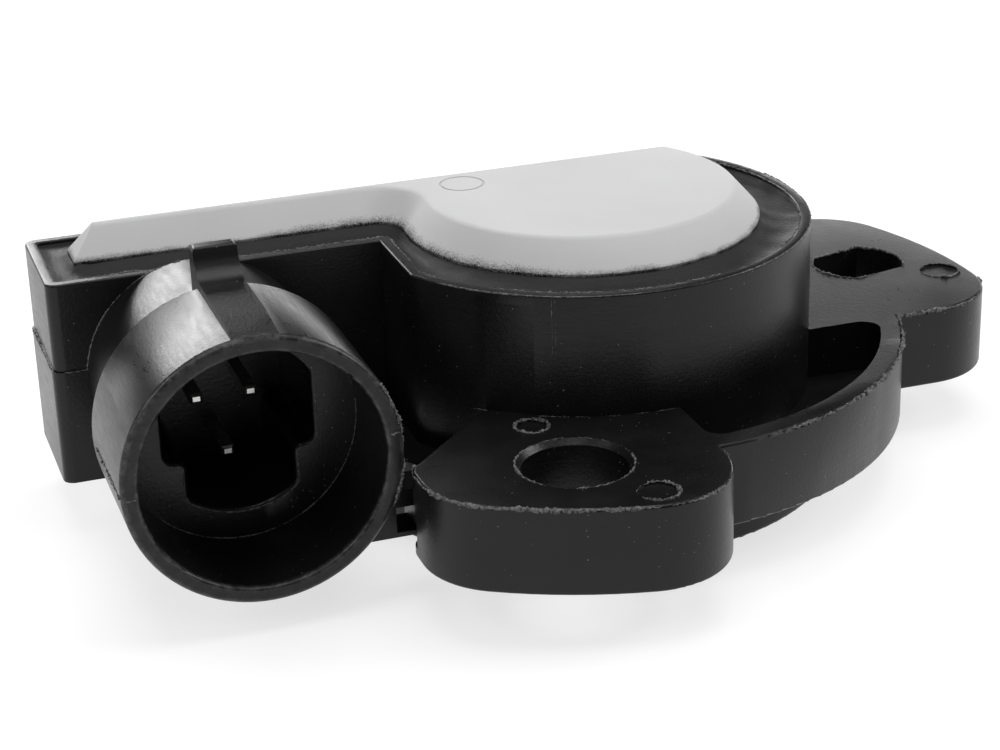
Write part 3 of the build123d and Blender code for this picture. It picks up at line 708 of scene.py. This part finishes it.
bpy.ops.object.select_all(action="DESELECT")
bpy.ops.mesh.primitive_plane_add(size=FLOOR_SPAN, location=(0, 0, (SPIGOT_BOTTOM_Z - FLOOR_GAP) * MM))
floor = bpy.context.object
floor.name = "floor"
floor_white, tree, shader = new_material("floor_white")
tree.nodes.remove(shader)
path = add_node(tree, "ShaderNodeLightPath").outputs
seen = combine(tree, "MAXIMUM", path["Is Camera Ray"], path["Is Glossy Ray"])
seen = combine(tree, "MAXIMUM", seen, path["Is Transmission Ray"])
paint = add_node(tree, "ShaderNodeBsdfDiffuse", (("Color", FLOOR_PAINT),)).outputs["BSDF"]
shade = add_node(tree, "ShaderNodeBsdfDiffuse", (("Color", FLOOR_SHADE),)).outputs["BSDF"]
glow = add_node(tree, "ShaderNodeEmission", (("Strength", FLOOR_GLOW),)).outputs["Emission"]
lit = add_node(tree, "ShaderNodeAddShader", ((0, shade), (1, glow))).outputs["Shader"]
table = add_node(tree, "ShaderNodeMixShader", ((0, seen), (1, paint), (2, lit))).outputs["Shader"]
below = add_node(tree, "ShaderNodeNewGeometry").outputs["Backfacing"]
clear = add_node(tree, "ShaderNodeBsdfTransparent").outputs["BSDF"]
one_sided = add_node(tree, "ShaderNodeMixShader", ((0, below), (1, table), (2, clear))).outputs["Shader"]
tree.links.new(one_sided, tree.nodes["Material Output"].inputs["Surface"])
floor.data.materials.append(floor_white)

# Light: a large soft box overhead, two low ones behind, one at each side and a small one in front.
# The room is dim. Angles are in degrees, sizes in metres, and brightness is as seen in a mirror.
ROOM_GREY = (0.08, 0.08, 0.08, 1)


def soft_box(name, azimuth, elevation, distance, width, height, brightness):
    """Rectangular lamp on a sphere round the part, facing it."""
    data = bpy.data.lights.new(name, "AREA")
    data.shape = "RECTANGLE"
    data.size = width
    data.size_y = height
    data.energy = brightness * math.pi * width * height
    lamp = bpy.data.objects.new(name, data)
    bpy.context.scene.collection.objects.link(lamp)
    turn = math.radians(azimuth)
    rise = math.radians(elevation)
    toward = Vector((math.cos(turn) * math.cos(rise), math.sin(turn) * math.cos(rise), math.sin(rise)))
    facing = toward.to_track_quat("Z", "Y").to_matrix().to_4x4()
    lamp.matrix_world = Matrix.Translation(toward * distance) @ facing
    lamp.visible_camera = False


soft_box("overhead", 0, 86, 0.8, 0.62, 0.62, 2.9)
soft_box("behind_left", 101, 24, 0.8, 0.4, 0.24, 10.0)
soft_box("backdrop", 56, 7, 0.9, 0.66, 0.21, 3.6)
soft_box("left", 190, 35, 0.8, 0.4, 0.4, 3.4)
soft_box("right", -10, 32, 0.8, 0.4, 0.4, 5.6)
soft_box("front", -104, 48, 0.9, 0.3, 0.3, 2.6)

world = bpy.data.worlds.new("studio")
bpy.context.scene.world = world
world.use_nodes = True
world.node_tree.nodes["Background"].inputs["Color"].default_value = ROOM_GREY

# Viewpoint: a long lens a little above the part, from its connector side, as in the photograph.
# Angles are in degrees, places in metres about a point on the rotor's axis, and the lens in millimetres.
VIEW_TURN = 18.19
VIEW_TILT = 22.81
VIEW_ROLL = -1.79
VIEW_DISTANCE = 0.21322
VIEW_RIGHT = -0.00751
VIEW_UP = 0.00192
VIEW_AXIS_HEIGHT = 0.0005
VIEW_LENS = 85.12
VIEW_SENSOR = 36
VIEW_NEAREST = 0.01
VIEW_FURTHEST = 100

turn = math.radians(VIEW_TURN)
tilt = math.radians(VIEW_TILT)
forward = Vector((math.sin(turn) * math.cos(tilt), math.cos(turn) * math.cos(tilt), -math.sin(tilt)))
right = Vector((math.cos(turn), -math.sin(turn), 0))
right.rotate(Matrix.Rotation(math.radians(-VIEW_ROLL), 3, forward))
up = right.cross(forward)
camera_data = bpy.data.cameras.new("view")
camera_data.lens = VIEW_LENS
camera_data.sensor_width = VIEW_SENSOR
camera_data.clip_start = VIEW_NEAREST
camera_data.clip_end = VIEW_FURTHEST
camera = bpy.data.objects.new("view", camera_data)
bpy.context.scene.collection.objects.link(camera)
view_place = Matrix((right, up, -forward)).transposed().to_4x4()
view_place.translation = (
    Vector((0, 0, VIEW_AXIS_HEIGHT)) - forward * VIEW_DISTANCE + right * VIEW_RIGHT + up * VIEW_UP
)
camera.matrix_world = view_place
bpy.context.scene.camera = camera
bpy.context.scene.view_settings.view_transform = "Standard"
